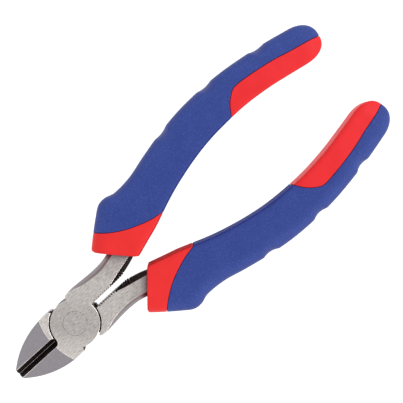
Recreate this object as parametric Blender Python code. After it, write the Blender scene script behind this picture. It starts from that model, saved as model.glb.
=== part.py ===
"""Diagonal cutting pliers, 160 mm, with two-colour moulded grips.

Two identical forged levers cross at a lap joint: the second is the first turned half a turn about the long
axis. A flush rivet holds them. Each tang carries a hard plastic core and a soft overmould on it.

Frame: metres, +Z up. The origin is the centre of the rivet's back end. The closed jaws point along +Y, the
handles along -Y, and the pivot axis is Z. Outlines are in millimetres and become metres in mm().
"""

import math

import bmesh
import bpy

# ---- driving dimensions, in millimetres --------------------------------------------------------------
HEAD_THICKNESS = 10.0
HALF = HEAD_THICKNESS / 2
TIP_Y = 27.25  # nose of the jaws
NOSE_HALF_WIDTH = 1.4
NOSE_HALF_THICKNESS = 3.2
JAW_HALF_WIDTH = 9.3
JAW_WIDEST_Y = 6.5
DISC_RADIUS = 8.72
LAP_GAP = 0.42  # between a disc and the recess round it
FACE_GAP = 0.3  # between the two halves of the lap, and between the cutting edges
RIVET_RADIUS = 3.0
RIVET_HEAD_RADIUS = 4.25
RIVET_HEAD_DEPTH = 1.6
RIVET_CLEARANCE = 0.12
GROOVE_HALF_WIDTH = 1.68  # of the V between the jaws, at the jaw faces
GROOVE_END_Y = 10.45
EDGE_LAND = 0.1  # half height of the flat on a cutting edge
FACET_START_Y = 10.4
FACET_CURVE_RADIUS = 23.0
SLOT_HALF_WIDTH = 1.0  # of the slot between the necks
TOOTH_PITCH = 0.95
TOOTH_DEPTH = 0.35
TOOTH_COUNT = 12
TOOTH_START_Y = -10.6
NECK_BEVEL_FLOOR = 1.4  # height above the middle plane at which the neck's bevels end
GRIP_HALF_THICKNESS = 7.5
GRIP_NARROWING = 7.1  # half thickness, one section before the round end
GRIP_END_HALF_THICKNESS = 6.6
SKIN = 2.0  # thickness of the soft overmould
SEAM = 0.3  # gap between separate pieces that meet
CAP_DEPTH = 8.6  # length of the round end
NOTCH_RADIUS = 3.2  # of the finger notches in the outer edge
ARC_STEPS = 56
BEYOND = 6.0  # how far cutters reach past what they cut

# ---- outlines, in millimetres, of the lever whose jaw is at -X and whose handle is at +X ----------------
NECK_OUTER = [(9.6, -5.0), (9.65, -7.5), (9.45, -11.2), (9.25, -14.8), (9.25, -18.0), (9.6, -21.6),
              (10.8, -25.6)]
TANG_OUTER = [(13.6, -31.4), (17.0, -38.9), (19.6, -46.9), (21.9, -56.4), (24.0, -66.4), (25.3, -76.9),
              (25.5, -87.4), (24.9, -97.4), (24.0, -102.9)]
NECK_INNER = [(1.0, -22.1), (1.45, -24.4), (2.9, -29.4)]
TANG_INNER = [(5.6, -35.4), (9.3, -41.9), (12.9, -48.9), (16.0, -58.4), (18.4, -67.9), (20.0, -77.4),
              (20.6, -87.4), (20.4, -96.4), (19.9, -101.9)]
TANG_TIP = [(20.6, -104.6), (22.0, -105.6), (23.4, -105.0)]
OUTER_BEVEL_TOP = [(9.8, -5.2), (8.85, -8.0), (7.9, -11.0), (7.4, -14.3), (7.2, -17.9), (7.6, -21.6),
                   (9.0, -26.4), (11.2, -32.4)]
INNER_BEVEL_TOP = [(0.8, -17.0), (1.7, -18.4), (2.5, -20.8), (3.15, -23.4), (4.1, -27.4), (5.6, -32.4)]
THICKNESS_PROFILE = [(40.0, 5.0), (-17.6, 5.0), (-33.4, 4.25), (-37.9, 2.8), (-125.0, 2.5)]  # y, half height

# The two rails of a grip: inner x, y, then outer x, y, from the collar's mouth to where the round end starts.
GRIP_SECTIONS = [
    (2.1, -32.2, 14.6, -20.8),
    (3.1, -35.4, 18.4, -25.2),
    (4.4, -39.6, 22.1, -29.8),
    (5.3, -42.6, 24.8, -33.6),
    (6.1, -44.9, 25.2, -37.0),
    (7.4, -48.2, 24.2, -41.0),
    (9.5, -53.7, 24.7, -48.4),
    (11.4, -59.6, 26.7, -56.6),
    (13.6, -68.4, 28.8, -66.6),
    (15.1, -77.4, 30.15, -76.6),
    (15.7, -87.0, 30.45, -86.8),
    (15.6, -96.0, 30.0, -96.7),
    (14.6, -105.4, 28.6, -107.0),
    (13.1, -113.6, 27.05, -115.6),
    (11.6, -121.0, 25.2, -123.7),
]
COLLAR_PARTING = [(22.2, -22.4), (18.8, -26.2), (15.4, -30.1), (12.3, -35.0), (10.1, -40.1), (8.7, -44.5),
                  (8.0, -47.9), (6.4, -52.1)]
PANEL_PARTING = [(12.3, -86.5), (15.2, -88.2), (19.4, -91.0), (22.2, -94.4), (23.0, -97.2), (22.2, -104.5),
                 (20.7, -112.6), (18.8, -119.8), (17.2, -126.7), (16.0, -130.7), (15.3, -134.7)]

NOTCH_CENTRES = [(31.1, -67.0), (32.7, -89.0), (30.5, -111.2)]

STEEL = ("satin_steel", (0.60, 0.58, 0.56), 0.38, 1.0)
RIVET_STEEL = ("rivet_steel", (0.57, 0.55, 0.53), 0.42, 1.0)
RED = ("red_hard_plastic", (0.84, 0.035, 0.04), 0.38, 0.0)
BLUE = ("blue_soft_rubber", (0.05, 0.08, 0.28), 0.6, 0.0)


def mm(*values):
    """Millimetres to Blender's metres."""
    return tuple(v * 0.001 for v in values)


# ---- curves ---------------------------------------------------------------------------------------------
def smooth(points, steps=3):
    """A Catmull-Rom curve through points of any dimension, with steps parts to each span."""
    padded = [points[0], *points, points[-1]]
    curve = []
    for a, b, c, d in zip(padded, padded[1:], padded[2:], padded[3:]):
        for k in range(steps):
            t = k / steps
            curve.append(tuple(
                0.5 * (2 * q + (r - p) * t + (2 * p - 5 * q + 4 * r - s) * t**2
                       + (3 * q - p - 3 * r + s) * t**3)
                for p, q, r, s in zip(a, b, c, d)
            ))
    return [*curve, tuple(points[-1])]


def arc(centre, radius, start, end, steps):
    """Points on a circle from the angle start to the angle end, in degrees."""
    angles = [math.radians(start + (end - start) * k / steps) for k in range(steps + 1)]
    return [(centre[0] + radius * math.cos(a), centre[1] + radius * math.sin(a)) for a in angles]


def circle(radius, steps=ARC_STEPS):
    return arc((0, 0), radius, 0, 360, steps)[:-1]


def offset(loop, distance):
    """A closed loop moved outwards by a distance, each point along the mean of its two sides' normals."""
    area = sum(a[0] * b[1] - b[0] * a[1] for a, b in zip(loop, loop[1:] + loop[:1]))
    turn = math.copysign(1, area)
    moved = []
    for before, here, after in zip(loop[-1:] + loop[:-1], loop, loop[1:] + loop[:1]):
        normal = [0, 0]
        for a, b in ((before, here), (here, after)):
            length = math.dist(a, b)
            normal[0] += turn * (b[1] - a[1]) / length
            normal[1] -= turn * (b[0] - a[0]) / length
        size = math.hypot(*normal)
        moved.append((here[0] + distance * normal[0] / size, here[1] + distance * normal[1] / size))
    return moved


# ---- solids ---------------------------------------------------------------------------------------------
def loft(name, loops):
    """A closed solid through loops of points that all have the same count, with a flat cap at each end."""
    shape = bmesh.new()
    rings = [[shape.verts.new(mm(*p)) for p in loop] for loop in loops]
    for low, high in zip(rings, rings[1:]):
        for k in range(len(low)):
            shape.faces.new((low[k - 1], low[k], high[k], high[k - 1]))
    shape.faces.new(rings[0])
    shape.faces.new(reversed(rings[-1]))
    bmesh.ops.recalc_face_normals(shape, faces=shape.faces)
    mesh = bpy.data.meshes.new(name)
    shape.to_mesh(mesh)
    shape.free()
    helper = bpy.data.objects.new(name, mesh)
    bpy.context.scene.collection.objects.link(helper)
    helper.hide_render = True
    helper.display_type = "WIRE"
    return helper


def prism(name, loop, low, high):
    """A flat outline raised from z low to z high."""
    return loft(name, [[(x, y, z) for x, y in loop] for z in (low, high)])


def side_prism(name, profile):
    """An outline in y and z, drawn right across the object in x."""
    return loft(name, [[(x, y, z) for y, z in profile] for x in (-45.0, 45.0)])


def combine(name, first, steps):
    """The mesh of first after a row of Booleans, each given as (operation, helper)."""
    for operation, helper in steps:
        modifier = first.modifiers.new(helper.name, "BOOLEAN")
        modifier.operation = operation
        modifier.object = helper
    evaluated = first.evaluated_get(bpy.context.evaluated_depsgraph_get())
    mesh = bpy.data.meshes.new_from_object(evaluated)
    mesh.name = name
    first.modifiers.clear()
    return mesh


def material(slot):
    name, colour, roughness, metallic = slot
    made = bpy.data.materials.get(name) or bpy.data.materials.new(name)
    made.use_nodes = True
    shader = made.node_tree.nodes["Principled BSDF"]
    shader.inputs["Base Color"].default_value = (*colour, 1)
    shader.inputs["Roughness"].default_value = roughness
    shader.inputs["Metallic"].default_value = metallic
    return made


def place(name, mesh, slot, parent, turned=False):
    """A part in the scene. A turned part is the same one, half a turn about the pliers' long axis."""
    if not mesh.materials:
        mesh.materials.append(material(slot))
    mesh.shade_smooth()
    mesh.set_sharp_from_angle(angle=math.radians(35))
    part = bpy.data.objects.new(name, mesh)
    bpy.context.scene.collection.objects.link(part)
    part.parent = parent
    part.rotation_euler = (0, math.pi if turned else 0, 0)
    return part


# ---- the forged lever -----------------------------------------------------------------------------------
def jaw_outline():
    """The jaw: a straight cutting side, a narrow nose, one long arc, and the shoulder at the joint."""
    reach = TIP_Y - JAW_WIDEST_Y
    width = JAW_HALF_WIDTH - NOSE_HALF_WIDTH
    radius = (reach**2 + width**2) / (2 * width)
    centre = (radius - JAW_HALF_WIDTH, JAW_WIDEST_Y)
    nose_angle = 180 - math.degrees(math.asin(reach / radius))
    side = arc(centre, radius, nose_angle, 184.6, 22)
    edge = -FACE_GAP / 2
    return [(edge, 0.0), (edge, TIP_Y), *side, (-8.1, 2.95), (-6.0, 1.0)]


def tang_outline():
    """From the neck down one side of the tang, round its tip and back up the other side."""
    outer = smooth(NECK_OUTER + TANG_OUTER + TANG_TIP[::-1], 2)
    inner = smooth(TANG_INNER[::-1] + NECK_INNER[::-1], 2)
    return outer + inner


def teeth():
    """The gripping teeth along the inner side of the neck, as a zigzag that runs up towards the joint."""
    line = []
    for k in reversed(range(TOOTH_COUNT)):
        root = TOOTH_START_Y - TOOTH_PITCH * k
        line.append((SLOT_HALF_WIDTH, root - TOOTH_PITCH * 0.4))
        line.append((SLOT_HALF_WIDTH + TOOTH_DEPTH, root))
        line.append((SLOT_HALF_WIDTH, root + TOOTH_PITCH * 0.4))
    return line


def neck_outline():
    shoulder = [(7.0, -1.0), (8.1, -3.2), (8.9, -3.35), (9.4, -3.9)]
    return [*shoulder, *tang_outline(), *teeth(), (SLOT_HALF_WIDTH, -5.0)]


def thickness_envelope(name, gap):
    """All that lies within the lever's thickness, which falls along the neck and again at the tang."""
    upper = [(y, z + gap) for y, z in THICKNESS_PROFILE]
    return side_prism(name, upper + [(y, -z) for y, z in reversed(upper)])


def facet_cutter(name, side):
    """What is ground off one face of the jaws: a slope to the nose that starts on an arc."""
    slope = (HALF - NOSE_HALF_THICKNESS) / (TIP_Y - FACET_START_Y)
    columns = [-12 + 1.0 * k for k in range(25)]
    loops = []
    for x in columns:
        start = FACET_START_Y - x**2 / (2 * FACET_CURVE_RADIUS)
        rows = [(start - 2.0, HALF + 2.0 * slope), (30.0, HALF - slope * (30.0 - start))]
        above = [(x, 30.0, side * 9.0), (x, start - 2.0, side * 9.0)]
        loops.append([(x, y, side * z) for y, z in rows] + above)
    return loft(name, loops)


def groove_cutter(name, side):
    """The V between the closed jaws, of one width at the jaw faces, with a round end near the joint."""
    top = HALF + 1.5
    land = FACE_GAP / 2 - 0.02
    slope = (HALF - NOSE_HALF_THICKNESS) / (TIP_Y - FACET_START_Y)

    def spread(y):
        depth = HALF - slope * max(0.0, y - FACET_START_Y) - EDGE_LAND
        return land + (GROOVE_HALF_WIDTH - land) * (top - EDGE_LAND) / depth

    stations = [29.0, 24.0, 19.0, 14.5]
    low = [(land, y) for y in stations]
    high = [(spread(y), y) for y in stations]
    for x, y in arc((0, 0), 1.0, 0, -180, 12):
        low.append((land * x, GROOVE_END_Y + land * y))
        high.append((spread(GROOVE_END_Y) * x, GROOVE_END_Y + spread(GROOVE_END_Y) * y))
    low += [(-land, y) for y in reversed(stations)]
    high += [(-spread(y), y) for y in reversed(stations)]
    return loft(name, [[(x, y, side * EDGE_LAND) for x, y in low], [(x, y, side * top) for x, y in high]])


def bevel_cutter(name, edge, top, reach, side):
    """A slope along the neck, from its edge near the middle plane to a line on its face.

    Both curves run down the neck and are read with the same count of points, and reach is the x of the
    cutter's far side.
    """
    rise = (HALF - NECK_BEVEL_FLOOR) / (HALF + 1.0 - NECK_BEVEL_FLOOR)
    over = [(a[0] + (b[0] - a[0]) / rise, a[1] + (b[1] - a[1]) / rise) for a, b in zip(edge, top)]
    loops = []
    for z, line in ((NECK_BEVEL_FLOOR, edge), (HALF + 1.0, over)):
        loops.append([(x, y, side * z) for x, y in [*line, (reach, line[-1][1]), (reach, line[0][1])]])
    return loft(name, loops)


def edge_at(curve, heights):
    """Points of a curve that runs down the neck, read at the heights y given."""
    found = []
    for y in heights:
        for a, b in zip(curve, curve[1:]):
            if a[1] >= y >= b[1]:
                t = (a[1] - y) / (a[1] - b[1])
                found.append((a[0] + (b[0] - a[0]) * t, y))
                break
    return found


def neck_bevels(name, side):
    """The two bevels of the neck on one face of the lever."""
    outer_top = smooth(OUTER_BEVEL_TOP, 3)
    inner_top = smooth(INNER_BEVEL_TOP, 3)
    outer_line = smooth([(9.8, -5.0)] + NECK_OUTER[1:] + TANG_OUTER[:2], 6)
    near = SLOT_HALF_WIDTH - 0.08
    inner_line = smooth([(near, -16.7), (near, -19.6), (near, -22.1)] + NECK_INNER[1:] + TANG_INNER[:2], 6)
    outer_edge = edge_at(outer_line, [p[1] for p in outer_top])
    inner_edge = edge_at(inner_line, [p[1] for p in inner_top])
    outer = bevel_cutter(name + "_outer", outer_edge, outer_top, 20.0, side)
    inner = bevel_cutter(name + "_inner", inner_edge, inner_top, -3.0, side)
    return [("DIFFERENCE", outer), ("DIFFERENCE", inner)]


def lever_mesh(name, with_web):
    """One forging. Only one of the pair has the small web that closes the slot behind the joint."""
    disc = prism("disc_blank", circle(DISC_RADIUS), 0.0, HALF)
    neck = prism("neck_blank", neck_outline(), -BEYOND, BEYOND)
    jaw = prism("jaw_blank", jaw_outline(), -HALF, HALF)
    lap = prism("lap_cut", circle(DISC_RADIUS + LAP_GAP), -BEYOND, FACE_GAP / 2)
    hole = prism("rivet_hole", circle(RIVET_RADIUS + RIVET_CLEARANCE, 48), -BEYOND, BEYOND)
    sink_floor = HALF - RIVET_HEAD_DEPTH - 0.15
    sink = prism("rivet_sink", circle(RIVET_HEAD_RADIUS + RIVET_CLEARANCE, 48), sink_floor, BEYOND)
    nose = side_prism("nose_cut", [(TIP_Y + 1.0, 0.9), (TIP_Y + 0.02, 0.9), (TIP_Y - 1.0, HALF),
                                   (TIP_Y + 1.0, HALF)])
    under_nose = side_prism("under_nose_cut", [(TIP_Y + 1.0, -0.9), (TIP_Y + 0.02, -0.9),
                                               (TIP_Y - 1.0, -HALF), (TIP_Y + 1.0, -HALF)])
    steps = [("INTERSECT", thickness_envelope("thickness", 0.0)), ("UNION", jaw), ("UNION", disc)]
    if with_web:
        web = [(-0.65, -7.8), (-0.65, -9.4), (1.6, -9.4), (1.6, -7.8)]
        steps.append(("UNION", prism("web_blank", web, FACE_GAP / 2 + 0.05, HALF - 1.2)))
    steps.append(("DIFFERENCE", lap))
    for side, word in ((1, "front"), (-1, "back")):
        steps.append(("DIFFERENCE", facet_cutter(f"{word}_facet_cut", side)))
        steps.append(("DIFFERENCE", groove_cutter(f"{word}_groove_cut", side)))
        steps += neck_bevels(f"{word}_neck_bevel", side)
    steps += [("DIFFERENCE", cut) for cut in (hole, sink, nose, under_nose)]
    return combine(name, neck, steps)


def rivet_mesh():
    """A plain pin with a flush head at each end."""
    profile = [(RIVET_HEAD_RADIUS, -HALF), (RIVET_HEAD_RADIUS, RIVET_HEAD_DEPTH - HALF),
               (RIVET_RADIUS, RIVET_HEAD_DEPTH - HALF), (RIVET_RADIUS, HALF - RIVET_HEAD_DEPTH),
               (RIVET_HEAD_RADIUS, HALF - RIVET_HEAD_DEPTH), (RIVET_HEAD_RADIUS, HALF)]
    rings = [[(x, y, z) for x, y in circle(r, 48)] for r, z in profile]
    return combine("rivet", loft("rivet_blank", rings), [])


# ---- the grips ------------------------------------------------------------------------------------------
def section(inner, outer, half_thickness, count=16):
    """A rounded section on a vertical plane, boxy on the inner side, rounder outside, with flat lands."""
    middle = ((inner[0] + outer[0]) / 2, (inner[1] + outer[1]) / 2)
    reach = ((outer[0] - inner[0]) / 2, (outer[1] - inner[1]) / 2)
    loop = []
    for k in range(count):
        angle = 2 * math.pi * k / count
        across, up = math.cos(angle), math.sin(angle)
        power = 2 / 5.0 if across < 0 else 2 / 2.8
        u = math.copysign(abs(across) ** power, across)
        z = math.copysign(min(1.0, 1.07 * abs(up) ** power), up) * half_thickness
        loop.append((middle[0] + u * reach[0], middle[1] + u * reach[1], z))
    return loop


def grip_form(name, inset=0.0, first=0, steps=2):
    """The whole outside of a grip, or what lies inset below it, from the collar's mouth to the round end."""
    halves = [GRIP_HALF_THICKNESS] * (len(GRIP_SECTIONS) - 2) + [GRIP_NARROWING, GRIP_END_HALF_THICKNESS]
    rows = [(*s, half) for s, half in zip(GRIP_SECTIONS, halves)]
    loops = []
    for ix, iy, ox, oy, half in smooth(rows[first:], steps):
        width = math.hypot(ox - ix, oy - iy)
        u = inset / width
        inner = (ix + (ox - ix) * u, iy + (oy - iy) * u)
        outer = (ox - (ox - ix) * u, oy - (oy - iy) * u)
        loops.append(section(inner, outer, half - inset))
    ix, iy, ox, oy, half = rows[-1]
    width = math.hypot(ox - ix, oy - iy)
    along = ((oy - iy) / width, -(ox - ix) / width)
    middle = ((ix + ox) / 2, (iy + oy) / 2)
    for k in range(1, 6):
        angle = math.radians(86) * k / 5
        step = (CAP_DEPTH - inset) * math.sin(angle)
        shrink = math.cos(angle) ** 0.8
        reach = (width / 2 - inset) * shrink / width
        centre = (middle[0] + along[0] * step, middle[1] + along[1] * step)
        inner = (centre[0] - (ox - ix) * reach, centre[1] - (oy - iy) * reach)
        outer = (centre[0] + (ox - ix) * reach, centre[1] + (oy - iy) * reach)
        loops.append(section(inner, outer, (half - inset) * (0.35 + 0.65 * shrink)))
    return loft(name, loops)


def collar_region(name, grow):
    """All that lies on the collar's side of its parting line."""
    line = smooth(COLLAR_PARTING, 2)
    return prism(name, offset([*line, (-8.0, -51.9), (-8.0, -10.4), (22.5, -10.4)], grow), -12.0, 12.0)


def panel_region(name, grow):
    """All that lies on the thumb panel's side of its parting line, along the inner side of the end."""
    line = smooth(PANEL_PARTING, 2)
    return prism(name, offset([*line, (2.0, -135.4), (2.0, -86.8)], grow), -12.0, 12.0)


def core_mesh():
    """The hard moulding: the collar and the thumb panel at full size, the rest below the overmould."""
    outside = grip_form("core_outside")
    under = grip_form("core_under", SKIN, first=1, steps=1)
    panel = combine("panel", grip_form("panel_blank"), [("INTERSECT", panel_region("panel_keep", -SEAM / 2))])
    panel_helper = bpy.data.objects.new("panel_piece", panel)
    bpy.context.scene.collection.objects.link(panel_helper)
    panel_helper.hide_render = True
    panel_helper.display_type = "WIRE"
    pocket = prism("pocket_blank", offset(tang_outline(), SEAM), -BEYOND, BEYOND)
    pocket_mesh = combine("pocket", pocket, [("INTERSECT", thickness_envelope("pocket_thickness", SEAM))])
    pocket_helper = bpy.data.objects.new("pocket_piece", pocket_mesh)
    bpy.context.scene.collection.objects.link(pocket_helper)
    pocket_helper.hide_render = True
    pocket_helper.display_type = "WIRE"
    return combine("grip_core", outside, [
        ("INTERSECT", collar_region("collar_keep", -SEAM / 2)),
        ("UNION", under),
        ("UNION", panel_helper),
        ("DIFFERENCE", pocket_helper),
    ])


def overmould_mesh():
    """The soft moulding: the grip's outside less the core and the two regions where the core shows."""
    steps = [
        ("DIFFERENCE", collar_region("collar_clear", SEAM / 2)),
        ("DIFFERENCE", panel_region("panel_clear", SEAM / 2)),
        ("DIFFERENCE", grip_form("overmould_inside", SKIN - SEAM, first=1, steps=1)),
    ]
    for k, centre in enumerate(NOTCH_CENTRES):
        notch = [(x + centre[0], y + centre[1]) for x, y in circle(NOTCH_RADIUS, 20)]
        steps.append(("DIFFERENCE", prism(f"notch_{k}", notch, -12.0, 12.0)))
    return combine("grip_overmould", grip_form("overmould_outside"), steps)


def build():
    for old in list(bpy.data.objects):
        bpy.data.objects.remove(old)
    frame = bpy.data.objects.new("pliers", None)
    bpy.context.scene.collection.objects.link(frame)
    frame.location = mm(0, 0, HALF)
    place("lever_front", lever_mesh("lever_plain", with_web=False), STEEL, frame)
    place("lever_back", lever_mesh("lever_webbed", with_web=True), STEEL, frame, turned=True)
    place("pivot_rivet", rivet_mesh(), RIVET_STEEL, frame)
    core = core_mesh()
    overmould = overmould_mesh()
    for word, turned in (("front", False), ("back", True)):
        place(f"grip_core_{word}", core, RED, frame, turned)
        place(f"grip_overmould_{word}", overmould, BLUE, frame, turned)


build()
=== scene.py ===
"""Looks of the diagonal cutting pliers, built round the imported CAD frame.

Shapes are worked out in millimetres from the middle of the pivot, as in the CAD, for the lever whose jaw is
at -X and whose handle is at +X. The other half is the same meshes turned half a turn about the long axis.
"""

import math

import bmesh
import bpy
import numpy as np
from mathutils import Matrix, Vector


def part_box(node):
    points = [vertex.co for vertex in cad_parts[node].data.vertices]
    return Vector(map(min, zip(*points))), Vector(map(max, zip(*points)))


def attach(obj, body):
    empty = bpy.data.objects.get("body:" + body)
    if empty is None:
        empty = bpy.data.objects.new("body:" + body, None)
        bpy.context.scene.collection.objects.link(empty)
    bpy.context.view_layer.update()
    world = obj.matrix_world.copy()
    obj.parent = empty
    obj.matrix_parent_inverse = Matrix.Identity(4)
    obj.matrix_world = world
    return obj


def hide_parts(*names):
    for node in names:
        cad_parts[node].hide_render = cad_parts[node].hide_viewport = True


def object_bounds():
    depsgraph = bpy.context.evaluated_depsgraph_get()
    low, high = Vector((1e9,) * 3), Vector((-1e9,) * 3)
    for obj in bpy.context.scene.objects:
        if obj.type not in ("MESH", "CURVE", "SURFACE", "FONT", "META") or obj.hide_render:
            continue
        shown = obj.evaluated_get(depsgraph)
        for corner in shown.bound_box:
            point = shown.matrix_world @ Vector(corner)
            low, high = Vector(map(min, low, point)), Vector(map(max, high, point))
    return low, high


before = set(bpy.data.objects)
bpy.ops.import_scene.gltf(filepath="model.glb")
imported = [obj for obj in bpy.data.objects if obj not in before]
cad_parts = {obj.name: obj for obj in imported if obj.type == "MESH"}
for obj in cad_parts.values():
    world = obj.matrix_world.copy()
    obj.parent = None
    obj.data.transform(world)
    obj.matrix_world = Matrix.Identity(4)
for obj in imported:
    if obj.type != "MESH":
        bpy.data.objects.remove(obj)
cad_low, cad_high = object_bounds()

MM = 0.001
lever_low, lever_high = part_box("lever_front")
rivet_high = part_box("pivot_rivet")[1]
grip_low, grip_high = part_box("grip_overmould_front")

# ---- sizes, in millimetres, read from the CAD where it has them -----------------------------------------
# MIDDLE_Z alone is in metres: the height of the levers' middle plane. EDGE_GAP is from that plane's centre
# line to a closed cutting edge, and the SEAM and WALL values belong to the shells of the grips.
MIDDLE_Z = (lever_high.z + lever_low.z) / 2
HALF = (lever_high.z - lever_low.z) / MM / 2
TIP_Y = lever_high.y / MM
RIVET_RADIUS = rivet_high.x / MM
RIVET_HOLE_GAP = 0.03
RIVET_INSET = 0.012
RIVET_ROLL = 0.05
RIVET_HEAD_DEPTH = 1.6
SHANK_RADIUS = 3.0
GRIP_CLEARANCE = 0.02
GRIP_HALF_THICKNESS = (grip_high.z - grip_low.z) / MM / 2 - GRIP_CLEARANCE
NOSE_HALF_WIDTH = 1.4
NOSE_HALF_THICKNESS = 3.2
NOSE_SLOPE_LENGTH = 1.0
NOSE_SLOPE_LOW_Z = 0.9
JAW_HALF_WIDTH = 9.3
JAW_WIDEST_Y = 6.5
JAW_ARC_END = 184.4
JAW_SHOULDER = [(-8.95, 3.5), (-8.1, 2.95), (-6.0, 1.0)]
HEEL_LINE = [(-10.2, 4.15), (-7.2, 2.55)]
HEEL_DEPTH = 2.2
HEEL_FORWARD = 0.7
HEEL_BACKWARD = 2.0
DISC_RADIUS = 8.72
LAP_RADIUS = 9.26
EDGE_GAP = 0.008
EDGE_CHAMFER = 0.16
CHAMFER_FALL = 0.6 * EDGE_CHAMFER
GROOVE_HALF_WIDTH = 1.68
GROOVE_END_Y = 10.45
GROOVE_BOTTOM_Z = 0.06
GROOVE_LAND = 0.1
GROOVE_STATIONS = [29.0, 25.0, 21.0, 17.0, 13.0]
FACET_START_Y = 10.4
FACET_CURVE_RADIUS = 23.0
FACET_EASE = (0.3, 0.14)
FACET_SLOPE = (HALF - NOSE_HALF_THICKNESS) / (TIP_Y - FACET_START_Y)
CUTTER_END_Y = 30.0
CUTTER_TOP_Z = 9.0
WEB = [(-0.2, -7.8), (-0.2, -9.3), (1.6, -9.3), (1.6, -7.8)]
WEB_LOW_Z = 0.2
WEB_BELOW_FACE = 1.2
TOOTH_PITCH = 0.95
TOOTH_DEPTH = 0.42
TOOTH_DEPTH_LOW = 0.8
TOOTH_LOW_Y = -18.0
TOOTH_COUNT = 15
TOOTH_START_Y = -10.6
TOOTH_PROFILE = [(0.5, 0.0), (0.25, 0.0), (0.12, 1.0), (-0.12, 1.0), (-0.25, 0.0)]
TOOTH_HALF_SPAN = 0.24
DARK_BELOW_Y = -20.0
CAP_DEPTH = 8.55
WALL = 0.42
MOUTH_ROUND = 0.9
SEAM_HALF_GAP = 0.1
SEAM_ROLL = 0.13
SEAM_SNAP = 0.07
CORE_DEPTH = 0.48
CORE_FIRST_ROW = 8
TANG_HOLE = (1.0, 12.2)
TANG_HOLE_HALF = 5.2
TANG_HOLE_DEPTH = 1.6
TANG_HOLE_BOXY = (7.0, 7.0)
GRIP_BOXY = (11.0, 3.4)

NECK_OUTER = [(8.9, -3.3), (9.4, -3.9), (9.6, -5.0), (9.65, -7.5), (9.45, -11.2), (9.25, -14.8),
              (9.25, -18.0), (9.6, -21.6), (10.8, -25.6), (13.6, -31.4), (17.0, -38.9), (18.4, -43.4)]
NECK_INNER = [(1.0, -3.3), (1.0, -14.0), (1.0, -22.1), (1.45, -24.4), (2.9, -29.4), (5.6, -35.4),
              (9.3, -41.9), (10.2, -43.4)]
NECK_START_Y = -3.3
NECK_END_Y = -43.41
NECK_STEP = 0.45
OUTER_BEVEL_TOP = [(8.75, -3.3), (9.25, -3.9), (9.45, -5.0), (8.85, -8.0), (7.9, -11.0), (7.4, -14.3),
                   (7.2, -17.9), (7.6, -21.6), (9.0, -26.4), (11.2, -32.4), (15.5, -43.4)]
INNER_BEVEL_TOP = [(1.0, -3.3), (1.0, -14.0), (1.0, -17.0), (1.7, -18.4), (2.5, -20.8), (3.15, -23.4),
                   (4.1, -27.4), (5.6, -32.4), (11.0, -43.4)]
BEVEL_SLOPE = 2.0
BEVEL_DEPTH_MOST = 3.6
OUTER_BEVEL_LEAST = 0.3
INNER_BEVEL_LEAST = 0.22
SIDE_HALF_LEAST = 0.4
THICKNESS_PROFILE = [(-60.0, 2.8), (-37.9, 2.8), (-33.4, 4.25), (-17.6, 5.0), (40.0, 5.0)]

# Each grip section as the x and y of its inner rail and then of its outer rail.
GRIP_SECTIONS = [
    (2.1, -32.2, 14.6, -20.8),
    (3.1, -35.4, 18.4, -25.2),
    (4.4, -39.6, 22.1, -29.8),
    (5.3, -42.6, 24.8, -33.6),
    (6.1, -44.9, 25.2, -37.0),
    (7.4, -48.2, 24.2, -41.0),
    (9.5, -53.7, 24.7, -48.4),
    (11.4, -59.6, 26.7, -56.6),
    (13.6, -68.4, 28.8, -66.6),
    (15.1, -77.4, 30.15, -76.6),
    (15.7, -87.0, 30.45, -86.8),
    (15.6, -96.0, 30.0, -96.7),
    (14.6, -105.4, 28.6, -107.0),
    (13.1, -113.6, 27.05, -115.6),
    (11.6, -121.0, 25.2, -123.7),
]
GRIP_HALVES = [1.0] * (len(GRIP_SECTIONS) - 2) + [0.945, 0.88]
COLLAR_PARTING = [(22.2, -22.4), (18.8, -26.2), (15.4, -30.1), (12.3, -35.0), (10.1, -40.1), (8.7, -44.5),
                  (8.0, -47.9), (6.4, -52.1)]
PANEL_PARTING = [(12.3, -86.5), (15.2, -88.2), (19.4, -91.0), (22.2, -94.4), (23.0, -97.2), (22.2, -104.5),
                 (20.7, -112.6), (18.8, -119.8), (17.2, -126.7), (16.0, -130.7), (15.3, -134.7)]
NOTCHES_Y = [-67.0, -89.0, -111.2]
NOTCH_DEPTH = 1.0
NOTCH_HALF_LENGTH = 3.2
NOTCH_REACH = 3.6
NOTCH_FULL_Z = 4.0


# ---- curves ---------------------------------------------------------------------------------------------
def smooth(points, steps):
    """A Catmull-Rom curve through the points, with steps parts to each span."""
    p = np.array(points, float)
    padded = np.vstack([2 * p[0] - p[1], p, 2 * p[-1] - p[-2]])
    rows = []
    for a, b, c, d in zip(padded, padded[1:], padded[2:], padded[3:]):
        for t in np.arange(steps) / steps:
            rows.append(0.5 * (2 * b + (c - a) * t + (2 * a - 5 * b + 4 * c - d) * t**2
                               + (3 * b - a - 3 * c + d) * t**3))
    return np.array([*rows, p[-1]])


def arc(centre, radius, start, end, steps):
    """Points on a circle from the angle start to the angle end, in degrees."""
    angles = np.radians(np.linspace(start, end, steps + 1))
    return [(centre[0] + radius * math.cos(a), centre[1] + radius * math.sin(a)) for a in angles]


def circle(radius, steps=180):
    """Points round the pivot, without the last, which would repeat the first."""
    return arc((0, 0), radius, 0, 360, steps)[:-1]


def x_at(curve, y):
    """The x of a curve that runs down the neck, at the height y."""
    return float(np.interp(-y, -curve[:, 1], curve[:, 0]))


# ---- solids ---------------------------------------------------------------------------------------------
WELD = 0.004 * MM
FLAT_WITHIN = math.radians(0.3)
METAL_CREASE = math.radians(4.5)
RIVET_CREASE = math.radians(25)
GRIP_CREASE = math.radians(50)
# A lever's material slots, and its two faces as the sign of z and a word for names.
MARK_COUNT = 6
STEEL, GROUND, BEVEL, DARK, GROOVE, BROWN = range(MARK_COUNT)
FACES = ((1, "front"), (-1, "back"))
made = []


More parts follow.
